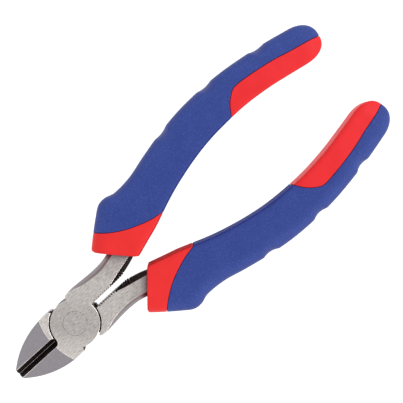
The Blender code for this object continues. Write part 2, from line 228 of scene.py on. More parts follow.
def mesh_of(name, points, faces, marks=None):
    """A mesh from points in millimetres."""
    mesh = bpy.data.meshes.new(name)
    mesh.from_pydata([tuple(float(c) * MM for c in p) for p in points], [], faces)
    if marks is not None:
        mesh.polygons.foreach_set("material_index", marks)
    mesh.update()
    return mesh


def helper(mesh):
    """An object for a step of the modelling, which is removed at the end."""
    piece = bpy.data.objects.new(mesh.name, mesh)
    bpy.context.scene.collection.objects.link(piece)
    for _ in range(MARK_COUNT):
        mesh.materials.append(None)
    made.append(piece)
    return piece


def loft(name, loops, marks=None, cap_mark=STEEL):
    """A closed solid through loops that have the same count of points.

    marks gives the materials, either a list with one for each side or a function of the row and the side.
    """
    count = len(loops[0])
    points = [p for loop in loops for p in loop]
    faces, kinds = [], []
    for row in range(len(loops) - 1):
        for k in range(count):
            after = (k + 1) % count
            a, b = row * count + k, row * count + after
            faces.append((a, b, b + count, a + count))
            kinds.append(cap_mark if marks is None else marks(row, k) if callable(marks) else marks[k])
    faces.append(tuple(range(count))[::-1])
    faces.append(tuple(range((len(loops) - 1) * count, len(loops) * count)))
    kinds += [cap_mark, cap_mark]
    piece = helper(mesh_of(name, points, faces, kinds))
    face_out(piece.data)
    return piece


def face_out(mesh):
    """Turns every face of a closed mesh outwards."""
    shape = bmesh.new()
    shape.from_mesh(mesh)
    bmesh.ops.recalc_face_normals(shape, faces=shape.faces)
    shape.to_mesh(mesh)
    shape.free()


def prism(name, loop, low, high, mark):
    """A flat outline carried up from one height to another."""
    return loft(name, [[(x, y, z) for x, y in loop] for z in (low, high)], cap_mark=mark)


def stack(name, layers, marks, cap_mark=STEEL):
    """A solid through flat outlines, each given as (outline, z), with a material to each row of sides."""
    loops = [[(x, y, z) for x, y in loop] for loop, z in layers]
    return loft(name, loops, lambda row, side: marks[row], cap_mark)


def side_prism(name, profile, mark):
    """A profile of (y, z) points carried right across both jaws."""
    return loft(name, [[(x, y, z) for y, z in profile] for x in (-45.0, 45.0)], cap_mark=mark)


def combine(name, first, steps):
    """The mesh of first after a row of Booleans, each given as (operation, helper)."""
    for operation, other in steps:
        modifier = first.modifiers.new(other.name, "BOOLEAN")
        modifier.operation = operation
        modifier.object = other
        modifier.material_mode = "INDEX"
    evaluated = first.evaluated_get(bpy.context.evaluated_depsgraph_get())
    mesh = bpy.data.meshes.new_from_object(evaluated)
    mesh.name = name
    return mesh


# ---- the forged lever -----------------------------------------------------------------------------------
def jaw_outline(inset=0.0):
    """One jaw from above: the closed cutting edge, the curved side and the shoulder behind it."""
    reach = TIP_Y - JAW_WIDEST_Y
    width = JAW_HALF_WIDTH - NOSE_HALF_WIDTH
    radius = (reach**2 + width**2) / (2 * width)
    centre = (radius - JAW_HALF_WIDTH, JAW_WIDEST_Y)
    nose_angle = 180 - math.degrees(math.asin(reach / radius))
    side = arc(centre, radius - inset, nose_angle, JAW_ARC_END, 70)
    (corner_x, corner_y), *others = JAW_SHOULDER
    shoulder = [(corner_x + inset, corner_y + inset), *[(x, y + inset) for x, y in others]]
    return [(-EDGE_GAP, 0.0), (-EDGE_GAP, TIP_Y), *side, *shoulder]


def jaw_blank():
    """The jaw as a slab with a fine chamfer round both faces."""
    edge, inner, flat = jaw_outline(), jaw_outline(EDGE_CHAMFER), HALF - CHAMFER_FALL
    layers = [(inner, -HALF), (edge, -flat), (edge, flat), (inner, HALF)]
    return stack("jaw", layers, [STEEL, GROUND, STEEL])


def heel_cutter(name, side):
    """The dark slope at the back corner of a jaw."""
    outer, inner = np.array(HEEL_LINE)
    along = (inner - outer) / np.linalg.norm(inner - outer)
    forward = np.array([-along[1], along[0]])
    loops = []
    for depth, reach in ((-HEEL_DEPTH, 0.0), (0.4, HEEL_FORWARD)):
        corners = [outer + forward * reach, inner + forward * reach, inner - forward * HEEL_BACKWARD,
                   outer - forward * HEEL_BACKWARD]
        loops.append([(x, y, side * (HALF + depth)) for x, y in corners])
    return loft(name, loops, cap_mark=DARK)


def neck_blank():
    """The neck as sections along the tool: toothed inner side, two bevels to each face, and a flat land."""
    outer, inner = smooth(NECK_OUTER, 12), smooth(NECK_INNER, 12)
    outer_top, inner_top = smooth(OUTER_BEVEL_TOP, 12), smooth(INNER_BEVEL_TOP, 12)
    stations = {round(y, 3): 0.0 for y in np.arange(NECK_START_Y, NECK_END_Y, -NECK_STEP)}
    for k in range(TOOTH_COUNT):
        root = TOOTH_START_Y - TOOTH_PITCH * k
        deep = TOOTH_DEPTH if root > TOOTH_LOW_Y else TOOTH_DEPTH_LOW
        for step, depth in TOOTH_PROFILE:
            stations[round(root + step * TOOTH_PITCH, 3)] = depth * deep
    first, last = TOOTH_START_Y + 0.5 * TOOTH_PITCH, TOOTH_START_Y - TOOTH_PITCH * (TOOTH_COUNT - 0.6)
    loops, rooted = [], []
    for y in sorted(stations, reverse=True):
        plain = stations[y] == 0.0 and last < y < first
        phase = (TOOTH_START_Y - y) / TOOTH_PITCH
        if plain and abs(phase - round(phase)) < TOOTH_HALF_SPAN:
            continue
        half = float(np.interp(y, *zip(*THICKNESS_PROFILE)))
        xo, xi = x_at(outer, y), x_at(inner, y) + stations[y]
        xot = min(x_at(outer_top, y), xo - OUTER_BEVEL_LEAST)
        xit = max(x_at(inner_top, y), xi + INNER_BEVEL_LEAST)
        zo = max(half - min(BEVEL_DEPTH_MOST, BEVEL_SLOPE * (xo - xot)), SIDE_HALF_LEAST)
        zi = max(half - min(BEVEL_DEPTH_MOST, BEVEL_SLOPE * (xit - xi)), SIDE_HALF_LEAST)
        crease, fall = xot + 1.3 * EDGE_CHAMFER, half - CHAMFER_FALL
        inner_crease, inner_fall = xit - 0.75 * EDGE_CHAMFER, half - 0.5 * EDGE_CHAMFER
        middle, drop = crease + 0.45 * (xo - crease), fall - 0.55 * (fall - zo)
        rooted.append(stations[y] > 0)
        upper = [(xi, zi), (inner_crease, inner_fall), (xit, half), (xot, half), (crease, fall),
                 (middle, drop), (xo, zo)]
        loops.append([(x, y, z) for x, z in upper] + [(x, y, -z) for x, z in reversed(upper)])

    face = [DARK, STEEL, STEEL, STEEL, BROWN, BEVEL]
    sides = [*face, BEVEL, *reversed(face)]

    def marks(row, side):
        """The last side is the toothed wall, with painted shade in the roots of its teeth, and dark towards
        the grips.
        """
        if side < len(sides):
            return sides[side]
        return DARK if rooted[row] or rooted[row + 1] or loops[row][0][1] < DARK_BELOW_Y else STEEL

    return loft("neck", loops, marks)


def facet_cutter(name, side):
    """What is ground off one face of the jaws: a slope to the nose that starts on an arc."""
    ease, eased = FACET_EASE
    loops = []
    for x in np.linspace(-12, 12, 61):
        start = FACET_START_Y - x**2 / (2 * FACET_CURVE_RADIUS)
        far = HALF - FACET_SLOPE * (CUTTER_END_Y - start)
        rows = [(start - 1.0, HALF + 0.5), (start, HALF), (start + ease, HALF - eased), (CUTTER_END_Y, far),
                (CUTTER_END_Y, CUTTER_TOP_Z), (start - 1.0, CUTTER_TOP_Z)]
        loops.append([(x, y, side * z) for y, z in rows])
    return loft(name, loops, [GROUND, STEEL, GROUND, GROUND, GROUND, GROUND])


def groove_cutter(name, side):
    """The V between the closed jaws, with a fine bright edge to each side and a round end near the joint."""
    plan = [(1.0, y, 0.0) for y in GROOVE_STATIONS]
    plan += [(x, GROOVE_END_Y, y) for x, y in arc((0, 0), 1.0, 0, -180, 30)]
    plan += [(-1.0, y, 0.0) for y in reversed(GROOVE_STATIONS)]
    loops = []
    for spread, rise in ((GROOVE_LAND, None), (GROOVE_HALF_WIDTH - 0.05, -0.16),
                         (GROOVE_HALF_WIDTH + 0.2, 0.0), (GROOVE_HALF_WIDTH + 1.5, 1.0)):
        loop = []
        for x, y, end in plan:
            place = y + end * spread
            face = HALF - FACET_SLOPE * max(0.0, place - FACET_START_Y)
            loop.append((x * spread, place, side * (GROOVE_BOTTOM_Z if rise is None else face + rise)))
        loops.append(loop)
    # the V's walls take the groove material: painted shade
    return loft(name, loops, lambda row, side: (GROOVE, STEEL, STEEL)[row], BROWN)


def lever_mesh(name, with_web):
    """One forging. Only one of the pair has the small web that closes the slot behind the joint."""
    steps = [("UNION", jaw_blank())]
    steps += [("DIFFERENCE", heel_cutter(f"{word}_heel", side)) for side, word in FACES]
    # The disc's rim, the web, the lap's wall and floor and the rivet hole are dark: painted shade in the gaps
    # of the joint.
    rim, edge, flat = circle(DISC_RADIUS), circle(DISC_RADIUS - EDGE_CHAMFER), HALF - CHAMFER_FALL
    steps.append(("UNION", stack("disc", [(rim, 0.0), (rim, flat), (edge, HALF)], [DARK, STEEL])))
    if with_web:
        steps.append(("UNION", prism("web", WEB, WEB_LOW_Z, HALF - WEB_BELOW_FACE, DARK)))
    lap = [(circle(LAP_RADIUS + 8.0), -HALF - 5.0), (circle(LAP_RADIUS + EDGE_CHAMFER), -HALF),
           (circle(LAP_RADIUS), -flat), (circle(LAP_RADIUS), 0.1)]
    steps.append(("DIFFERENCE", stack("lap", lap, [STEEL, STEEL, DARK], DARK)))
    for side, word in FACES:
        steps.append(("DIFFERENCE", facet_cutter(f"{word}_facet", side)))
        steps.append(("DIFFERENCE", groove_cutter(f"{word}_groove", side)))
        nose = [(TIP_Y + 1.0, NOSE_SLOPE_LOW_Z), (TIP_Y + 0.02, NOSE_SLOPE_LOW_Z),
                (TIP_Y - NOSE_SLOPE_LENGTH, HALF), (TIP_Y + 1.0, HALF)]
        steps.append(("DIFFERENCE", side_prism(f"{word}_nose", [(y, side * z) for y, z in nose], GROUND)))
    hole = circle(RIVET_RADIUS + RIVET_HOLE_GAP)
    steps.append(("DIFFERENCE", prism("rivet_hole", hole, -8.0, 8.0, DARK)))
    return combine(name, neck_blank(), steps)


def finish_metal(mesh):
    """Merges what the Booleans left doubled, and marks every crease as sharp."""
    shape = bmesh.new()
    shape.from_mesh(mesh)
    bmesh.ops.remove_doubles(shape, verts=shape.verts, dist=WELD)
    bmesh.ops.dissolve_degenerate(shape, edges=shape.edges, dist=WELD)
    bmesh.ops.dissolve_limit(shape, angle_limit=FLAT_WITHIN, verts=shape.verts, edges=shape.edges,
                             delimit={"MATERIAL"})
    shape.to_mesh(mesh)
    shape.free()
    mesh.shade_smooth()
    mesh.set_sharp_from_angle(angle=METAL_CREASE)


def rivet_mesh():
    """The rivet as two flush heads on a shank, turned round the pivot axis."""
    side = RIVET_RADIUS - RIVET_INSET
    top = [(0.0, HALF), (1.6, HALF), (RIVET_RADIUS - RIVET_ROLL, HALF), (side, HALF - RIVET_ROLL),
           (side, HALF - RIVET_HEAD_DEPTH), (SHANK_RADIUS, HALF - 1.7)]
    profile = top + [(r, -z) for r, z in reversed(top)]
    steps = 120
    points, faces = [(0, 0, HALF)], []
    rings = profile[1:-1]
    for r, z in rings:
        points += [(x, y, z) for x, y in circle(r, steps)]
    points.append((0, 0, -HALF))
    for k in range(steps):
        after = (k + 1) % steps
        faces.append((0, 1 + k, 1 + after))
        for row in range(len(rings) - 1):
            a = 1 + row * steps
            faces.append((a + k, a + k + steps, a + after + steps, a + after))
        a = 1 + (len(rings) - 1) * steps
        faces.append((len(points) - 1, a + after, a + k))
    mesh = mesh_of("rivet", points, faces)
    face_out(mesh)
    mesh.shade_smooth()
    mesh.set_sharp_from_angle(angle=RIVET_CREASE)
    return mesh


# ---- the grips ------------------------------------------------------------------------------------------
AROUND = 104
SPAN_STEPS = 15


def section(inner, outer, half, boxy=GRIP_BOXY):
    """A rounded section on a vertical plane, evenly spaced. boxy is for its inner side and its outer side."""
    angle = np.linspace(0, 2 * math.pi, 721)
    across, up = np.cos(angle), np.sin(angle)
    power = np.where(across < 0, 2 / boxy[0], 2 / boxy[1])
    u = np.sign(across) * np.abs(across) ** power
    v = np.sign(up) * np.abs(up) ** power
    width = np.linalg.norm(outer - inner) / 2
    walk = np.concatenate([[0], np.cumsum(np.hypot(np.diff(u) * width, np.diff(v) * half))])
    even = np.linspace(0, walk[-1], AROUND + 1)[:-1]
    u, v = np.interp(even, walk, u), np.interp(even, walk, v)
    middle, reach = (inner + outer) / 2, (outer - inner) / 2
    return np.column_stack([middle[0] + u * reach[0], middle[1] + u * reach[1], v * half])


def shrunk(row, inset, lowered):
    """The inner rail, outer rail and half thickness of a section with its sides and its faces moved in."""
    inner, outer, half = row[:2], row[2:4], row[4]
    step = (outer - inner) / np.linalg.norm(outer - inner) * inset
    return inner + step, outer - step, half - lowered


def mouth_back(row):
    """The direction in plan from the collar's mouth towards the grip."""
    across = (row[2:4] - row[:2]) / np.linalg.norm(row[2:4] - row[:2])
    return np.array([across[1], -across[0]])


def grip_rows():
    """The rails of a grip, and its outside as rows of points from the collar's mouth to the far end."""
    rows = smooth([(*s, GRIP_HALF_THICKNESS * h) for s, h in zip(GRIP_SECTIONS, GRIP_HALVES)], SPAN_STEPS)
    back = mouth_back(rows[0])
    middles = (rows[:, :2] + rows[:, 2:4]) / 2
    loops = []
    for row, middle in zip(rows, middles):
        ahead = max(0.0, 1 - (middle - middles[0]) @ back / MOUTH_ROUND)
        inset = MOUTH_ROUND * (1 - math.sqrt(1 - ahead**2))
        loops.append(section(*shrunk(row, inset, 0.35 * inset)))
    last = rows[-1]
    inner, outer, half = last[:2], last[2:4], last[4]
    width = np.linalg.norm(outer - inner)
    along = np.array([(outer - inner)[1], -(outer - inner)[0]]) / width
    for angle in np.radians(np.linspace(0, 88, 20))[1:]:
        shrink = math.cos(angle) ** 0.8
        centre = (inner + outer) / 2 + along * CAP_DEPTH * math.sin(angle)
        reach = (outer - inner) / 2 * shrink
        loops.append(section(centre - reach, centre + reach, half * (0.35 + 0.65 * shrink)))
    return rows, loops


def grid_faces(rows):
    """The faces between rows of points, with the last row closed."""
    faces = []
    for row in range(rows - 1):
        for k in range(AROUND):
            after = (k + 1) % AROUND
            a, b = row * AROUND + k, row * AROUND + after
            faces.append((a, b, b + AROUND, a + AROUND))
    faces.append(tuple(range((rows - 1) * AROUND, rows * AROUND)))
    return faces


def normals_of(points, faces):
    """The outward normal at each point of a surface."""
    mesh = mesh_of("probe", points, faces)
    found = np.zeros(len(points) * 3)
    mesh.vertices.foreach_get("normal", found)
    bpy.data.meshes.remove(mesh)
    return found.reshape(-1, 3)


def press_notches(points, normals, outer_rail):
    """Three finger notches in the outer edge, each a shallow scoop that runs out onto both faces."""
    order = np.argsort(outer_rail[:, 1])
    inward = np.interp(points[:, 1], outer_rail[order, 1], outer_rail[order, 0]) - points[:, 0]
    depth = np.zeros(len(points))
    for y in NOTCHES_Y:
        far = ((points[:, 1] - y) / NOTCH_HALF_LENGTH) ** 2 + (np.maximum(inward, 0) / NOTCH_REACH) ** 2
        depth = np.maximum(depth, NOTCH_DEPTH * np.clip(1 - far, 0, 1) ** 1.3)
    depth *= 0.5 + 0.5 * np.minimum(np.abs(points[:, 2]) / NOTCH_FULL_Z, 1)
    return points - normals * depth[:, None]


def beside(points, line):
    """Signed distance in plan from a parting line, positive on the hard plastic's side, and its gradient."""
    best = np.full(len(points), 1e9)
    signed = np.zeros(len(points))
    gradient = np.zeros((len(points), 2))
    for a, b in zip(line, line[1:]):
        d = b - a
        length = np.linalg.norm(d)
        rel = points[:, :2] - a
        t = np.clip(rel @ d / length**2, 0, 1)
        near = np.linalg.norm(rel - t[:, None] * d, axis=1)
        normal = np.array([d[1], -d[0]]) / length
        side = rel @ normal
        closer = near < best - 1e-9
        best[closer] = near[closer]
        signed[closer] = np.where(side >= 0, near, -near)[closer]
        gradient[closer] = normal
    return signed, gradient


def clip(shell, field, gradient, level):
    """Keeps the part of a shell where field is at least level, and cuts its faces along that line.

    shell is (points, normals, outward directions along the surface at a cut, faces). The result is the same
    four for what is left, and the numbers that its points had before.
    """
    points, normals, across, faces = shell
    points, field, across = points.copy(), field.copy(), across.copy()
    near = np.abs(field - level) < SEAM_SNAP
    points[near, :2] += (level - field[near])[:, None] * gradient[near]
    across[near] = -np.column_stack([gradient[near], np.zeros(near.sum())])
    inside = (field > level) & ~near
    points, normals, across = list(points), list(normals), list(across)
    cut = {}
    kept = []
    for face in faces:
        if not any(inside[v] for v in face):
            continue
        loop = []
        for v, w in zip(face, face[1:] + face[:1]):
            if inside[v] or near[v]:
                loop.append(v)
            if inside[v] != inside[w] and not near[v] and not near[w]:
                key = (min(v, w), max(v, w))
                if key not in cut:
                    t = (level - field[v]) / (field[w] - field[v])
                    cut[key] = len(points)
                    points.append(points[v] * (1 - t) + points[w] * t)
                    normals.append(normals[v] * (1 - t) + normals[w] * t)
                    slope = gradient[v] * (1 - t) + gradient[w] * t
                    across.append(-np.array([slope[0], slope[1], 0.0]))
                loop.append(cut[key])
        kept.append(tuple(loop))
    used = sorted({v for face in kept for v in face})
    index = {v: k for k, v in enumerate(used)}
    faces = [tuple(index[v] for v in face) for face in kept]
    points, normals, across = (np.array([rows[v] for v in used]) for rows in (points, normals, across))
    normals /= np.linalg.norm(normals, axis=1)[:, None]
    return points, normals, across, faces, used


def boundary_edges(faces):
    """Directed edges of the faces that no other face shares."""
    seen = {}
    for face in faces:
        for v, w in zip(face, face[1:] + face[:1]):
            seen[(v, w)] = True
    return [(v, w) for v, w in seen if (w, v) not in seen]


def solid_shell(shell, open_loop=None):
    """Gives a surface a wall, with a small roll along each cut edge. open_loop stays open at both skins."""
    points, normals, across, faces = shell
    count = len(points)
    rim = [e for e in boundary_edges(faces) if not (open_loop and e[0] in open_loop and e[1] in open_loop)]
    rim_points = sorted({v for e in rim for v in e})
    place = {v: k for k, v in enumerate(rim_points)}
    out = np.array([across[v] for v in rim_points])
    n = normals[rim_points]
    out -= n * np.sum(out * n, axis=1)[:, None]
    out /= np.linalg.norm(out, axis=1)[:, None]
    base = points[rim_points]
    rings = [base + out * SEAM_ROLL * math.sin(a) - n * SEAM_ROLL * (1 - math.cos(a))
             for a in np.radians([30, 60, 90])]
    rings.append(base + out * SEAM_ROLL - n * WALL)
    all_points = [points, points - normals * WALL, *rings]
    starts = np.cumsum([0] + [len(p) for p in all_points])
    solid = [*faces, *[tuple(v + count for v in reversed(face)) for face in faces]]
    for v, w in rim:
        path = [(v, w)] + [(starts[2 + r] + place[v], starts[2 + r] + place[w]) for r in range(len(rings))]
        path.append((v + count, w + count))
        for (a, b), (c, d) in zip(path, path[1:]):
            solid.append((int(b), int(a), int(c), int(d)))
    return np.vstack(all_points), solid


def grip_meshes():
    """The rails of a grip, its shells (collar, thumb panel and soft overmould), and the core under them."""
    rows, loops = grip_rows()
    points = np.vstack(loops)
    faces = grid_faces(len(loops))
    normals = normals_of(points, faces)
    if np.dot(normals[0], points[0] - points[:AROUND].mean(axis=0)) < 0:
        faces = [tuple(reversed(face)) for face in faces]
        normals = -normals
    points = press_notches(points, normals, rows[:, 2:4])
    normals = normals_of(points, faces)
    across = np.zeros_like(points)
    level = SEAM_HALF_GAP + SEAM_ROLL
    collar_line, panel_line = smooth(COLLAR_PARTING, 10), smooth(PANEL_PARTING, 10)
    whole = (points, normals, across, faces)

    collar_field, collar_gradient = beside(points, collar_line)
    panel_field, panel_gradient = beside(points, panel_line)
    collar = clip(whole, collar_field, collar_gradient, level)
    panel = clip(whole, panel_field, panel_gradient, level)
    over = clip(whole, -collar_field, -collar_gradient, level)
    again, gradient = beside(over[0], panel_line)
    over = clip(over[:4], -again, -gradient, level)
    return rows, collar, panel, over, core_mesh(points, normals, faces)


def core_mesh(points, normals, faces):
    """The core just under the shells, which closes the seams from below."""
    skip = AROUND * CORE_FIRST_ROW
    kept = [tuple(v - skip for v in face) for face in faces if min(face) >= skip]
    mouth = tuple(range(AROUND))
    following = next(face for face in kept if 0 in face and 1 in face)
    forward = (following.index(1) - following.index(0)) % len(following) == 1
    kept.append(mouth[::-1] if forward else mouth)
    return (points - normals * CORE_DEPTH)[skip:], kept


def collar_mesh(rows, collar):
    """The collar's shell, closed at its mouth by a rolled edge, an end face and the hole for the tang."""
    points, normals, across, faces, used = collar
    mouth = {used.index(v) for v in range(AROUND)}
    order = [used.index(v) for v in range(AROUND)]
    body, solid = solid_shell((points, normals, across, faces), mouth)
    inner, outer = rows[0][:2], rows[0][2:4]
    unit = (outer - inner) / np.linalg.norm(outer - inner)
    near, far = TANG_HOLE
    hole = section(inner + unit * near, inner + unit * far, TANG_HOLE_HALF, TANG_HOLE_BOXY)
    loops = [hole, hole + np.array([*mouth_back(rows[0]), 0.0]) * TANG_HOLE_DEPTH]
    starts = len(body)
    extra = np.vstack(loops)
    rings = [order] + [[starts + r * AROUND + k for k in range(AROUND)] for r in range(len(loops))]
    rings.append([v + len(points) for v in order])
    for low, high in zip(rings, rings[1:]):
        for k in range(AROUND):
            after = (k + 1) % AROUND
            solid.append((low[k], high[k], high[after], low[after]))
    return np.vstack([body, extra]), solid


# ---- materials ------------------------------------------------------------------------------------------
# The steel tints go by millimetres in front of the grip's mouth: painted shade by the mouth, painted light
# along the neck and on the jaws, and a painted red reflection of the collar on the upper outer bevel. The
# wall tints go by how far a surface turns from the inner wall, -1, to the outer wall, 1; the colour ones
# paint shade on the inner walls and a sheen on the blue's outer side.
MOUTH_NORMAL = (-0.674, 0.739, 0.0)
MOUTH_OFFSET = -25.2
TINT_REACH = 40.0
STEEL_SHADE_AND_LIGHT = [(0.0, 0.3, 0.28, 0.28), (0.9, 0.6, 0.58, 0.6), (3.0, 0.88, 0.86, 0.87),
              (6.0, 0.98, 0.98, 0.98), (11.0, 1.16, 1.16, 1.16), (16.0, 1.14, 1.14, 1.14),
              (22.0, 1.0, 1.0, 1.0), (28.0, 1.0, 1.0, 1.0), (33.0, 1.26, 1.26, 1.26),
              (37.0, 1.36, 1.36, 1.36)]
# Painted shade on the blue's inner wall, a painted sheen on its outer side, and darker again on the outer
# wall itself.
BLUE_WALL_SHADE_AND_SHEEN = [(-1.0, 0.50, 0.55, 0.88), (-0.8, 0.60, 0.64, 0.90), (-0.5, 1.0, 1.0, 1.0),
                  (0.02, 1.0, 1.0, 1.0), (0.15, 1.18, 1.13, 1.05), (0.4, 1.30, 1.22, 1.10),
                  (0.75, 0.95, 0.95, 0.97), (1.0, 0.75, 0.77, 0.82)]
# Painted shade on the inner walls of the collar and, fainter, of the thumb panel.
COLLAR_WALL_SHADE = [(-1.0, 0.62, 0.5, 0.6), (-0.85, 0.72, 0.6, 0.7), (-0.6, 1.0, 1.0, 1.0),
                    (1.0, 1.0, 1.0, 1.0)]
PANEL_WALL_SHADE = [(-1.0, 0.95, 0.95, 0.95), (-0.8, 0.95, 0.95, 0.95), (-0.5, 1.0, 1.0, 1.0),
                   (1.0, 1.0, 1.0, 1.0)]
WALL_DULLING = [(-1.0, 0.45, 0.45, 0.45), (-0.8, 0.4, 0.4, 0.4), (-0.5, 0.0, 0.0, 0.0), (1.0, 0.0, 0.0, 0.0)]
# Painted shade and a painted red reflection of the collar on the upper outer bevel, by the grip's mouth.
BEVEL_SHADE_AND_RED_REFLECTION = [(0.0, 0.6, 0.13, 0.17), (2.5, 0.7, 0.3, 0.32), (6.0, 0.85, 0.62, 0.62), (12.0, 1.0, 0.95, 0.95)]


class Maker:
    """A short way to write a material's nodes. Colours are linear, and scales count cells to a metre."""

    def __init__(self, name):
        self.material = bpy.data.materials.new(name)
        self.material.use_nodes = True
        self.tree = self.material.node_tree
        self.shader = self.tree.nodes["Principled BSDF"]
        self.coordinate = self.node("ShaderNodeTexCoord")
        self.place = self.coordinate.outputs["Object"]

    def node(self, kind, **values):
        made_node = self.tree.nodes.new(kind)
        for key, value in values.items():
            if hasattr(made_node, key):
                setattr(made_node, key, value)
            else:
                made_node.inputs[key.replace("_", " ")].default_value = value
        return made_node

    def link(self, source, target):
        self.tree.links.new(source, target)

    def stretched(self, scale):
        mapping = self.node("ShaderNodeMapping")
        mapping.inputs["Scale"].default_value = scale
        self.link(self.place, mapping.inputs["Vector"])
        return mapping.outputs["Vector"]

    def noise(self, scale, detail=3.0, roughness=0.5):
        noise = self.node("ShaderNodeTexNoise", Scale=1.0, Detail=detail, Roughness=roughness)
        self.link(self.stretched(scale), noise.inputs["Vector"])
        return noise.outputs["Fac"]

    def ramp(self, factor, low, high, start=0.3, end=0.7):
        return self.stops(factor, [(start, *low), (end, *high)])

    def stops(self, factor, colours):
        """A colour ramp through any number of stops, each given as (position, red, green, blue)."""
        ramp = self.node("ShaderNodeValToRGB")
        elements = ramp.color_ramp.elements
        elements.remove(elements[1])
        elements[0].position = colours[0][0]
        elements[0].color = (*colours[0][1:], 1)
        for position, *colour in colours[1:]:
            elements.new(position).color = (*colour, 1)
        self.link(factor, ramp.inputs["Fac"])
        return ramp.outputs["Color"]

    def remap(self, factor, low, high, start=0.3, end=0.7):
        made_node = self.node("ShaderNodeMapRange")
        made_node.inputs["From Min"].default_value = start
        made_node.inputs["From Max"].default_value = end
        made_node.inputs["To Min"].default_value = low
        made_node.inputs["To Max"].default_value = high
        self.link(factor, made_node.inputs["Value"])
        return made_node.outputs["Result"]

    def mix(self, factor, a, b, blend="MIX"):
        made_node = self.node("ShaderNodeMix", data_type="RGBA", blend_type=blend)
        factor_in, colour_a, colour_b = (made_node.inputs[k] for k in (0, 6, 7))
        for socket, value in ((factor_in, factor), (colour_a, a), (colour_b, b)):
            if isinstance(value, bpy.types.NodeSocket):
                self.link(value, socket)
            else:
                socket.default_value = value
        return made_node.outputs[2]

    def bump(self, height, strength, distance):
        made_node = self.node("ShaderNodeBump", Strength=strength, Distance=distance)
        self.link(height, made_node.inputs["Height"])
        return made_node.outputs["Normal"]


def across_wall(m, stops):
    """A tint that changes with how far the surface turns from the inner wall to the outer one."""
    split = m.node("ShaderNodeSeparateXYZ")
    m.link(m.coordinate.outputs["Normal"], split.inputs[0])
    turn = m.remap(split.outputs["X"], 0.0, 1.0, -1.0, 1.0)
    return m.stops(turn, [((turned + 1) / 2, *colour) for turned, *colour in stops])


def along_tool(m, stops):
    """A tint of painted shade and painted light that changes with the distance in front of the grip's mouth.
    """
    reach = m.node("ShaderNodeVectorMath", operation="DOT_PRODUCT")
    m.link(m.place, reach.inputs[0])
    reach.inputs[1].default_value = MOUTH_NORMAL
    span = m.remap(reach.outputs["Value"], 0.0, 1.0, MOUTH_OFFSET * MM, (MOUTH_OFFSET + TINT_REACH) * MM)
    return m.stops(span, [(distance / TINT_REACH, *colour) for distance, *colour in stops])


def brushed_steel(name, low, high, rough, grain=(3200, 640, 3200), streak=0.32, tint=()):
    """Ground steel: fine lines along the tool, barely clouded."""
    m = Maker(name)
    fine = m.noise(grain, 4.0, 0.65)
    cloud = m.noise((420, 260, 420), 2.0, 0.5)
    colour = m.ramp(fine, low, high, 0.24, 0.76)
    clouded = m.ramp(cloud, (0.985, 0.982, 0.98), (1.015, 1.012, 1.013), 0.35, 0.65)
    colour = m.mix(1.0, colour, clouded, "MULTIPLY")
    # A given tint paints shade and light along the tool.
    if tint:
        colour = m.mix(1.0, colour, along_tool(m, tint), "MULTIPLY")
    m.link(colour, m.shader.inputs["Base Color"])
    m.link(m.remap(fine, rough - 0.05, rough + 0.07), m.shader.inputs["Roughness"])
    m.link(m.bump(fine, streak, 0.00004), m.shader.inputs["Normal"])
    m.shader.inputs["Metallic"].default_value = 1.0
    return m.material


def dark_steel(name, low, high, grain):
    """Near-black oily steel with a few brown and grey flecks: unground forging scale, and painted shade in
    gaps, hollows and the groove.
    """
    m = Maker(name)
    flecks = m.noise(grain, 4.0, 0.6)
    m.link(m.ramp(flecks, low, high, 0.45, 0.8), m.shader.inputs["Base Color"])
    m.link(m.remap(flecks, 0.38, 0.55), m.shader.inputs["Roughness"])
    m.link(m.bump(flecks, 0.5, 0.00006), m.shader.inputs["Normal"])
    m.shader.inputs["Metallic"].default_value = 0.35
    m.shader.inputs["Specular IOR Level"].default_value = 0.12
    return m.material


def blue_rubber():
    """Soft matte overmould: a fine moulded grain with tiny pale specks."""
    m = Maker("blue_grip_rubber")
    tone = m.noise((160, 160, 160), 3.0, 0.55)
    grain = m.noise((1900, 1900, 1900), 2.0, 0.55)
    specks = m.noise((1900, 1900, 1900), 1.0, 0.4)
    base = m.ramp(tone, (0.0133, 0.0343, 0.208), (0.0171, 0.0400, 0.227), 0.3, 0.7)
    base = m.mix(1.0, base, m.ramp(grain, (0.79, 0.85, 0.91), (1.25, 1.18, 1.08), 0.35, 0.65), "MULTIPLY")
    # painted shade on the inner wall and a painted sheen on the outer side
    base = m.mix(1.0, base, across_wall(m, BLUE_WALL_SHADE_AND_SHEEN), "MULTIPLY")
    speck = m.ramp(specks, (0, 0, 0), (0.015, 0.017, 0.021), 0.6, 0.75)
    m.link(m.mix(1.0, base, speck, "ADD"), m.shader.inputs["Base Color"])
    dull = m.mix(1.0, m.remap(grain, 0.58, 0.72), across_wall(m, WALL_DULLING), "ADD")
    m.link(dull, m.shader.inputs["Roughness"])
    m.link(m.bump(grain, 0.45, 0.00006), m.shader.inputs["Normal"])
    m.shader.inputs["Specular IOR Level"].default_value = 0.35
    m.shader.inputs["Sheen Weight"].default_value = 0.04
    m.shader.inputs["Sheen Roughness"].default_value = 0.45
    m.shader.inputs["Sheen Tint"].default_value = (0.6, 0.68, 0.82, 1)
    return m.material


def seam_shade_layer():
    """Dark navy painted on the core for the shade at the bottom of the seams, the only place where it shows.
    """
    m = Maker("core_painted_seam_shade")
    tone = m.noise((900, 900, 900))
    m.link(m.ramp(tone, (0.003, 0.006, 0.020), (0.005, 0.012, 0.035)), m.shader.inputs["Base Color"])
    m.shader.inputs["Roughness"].default_value = 0.8
    m.shader.inputs["Specular IOR Level"].default_value = 0.1
    return m.material


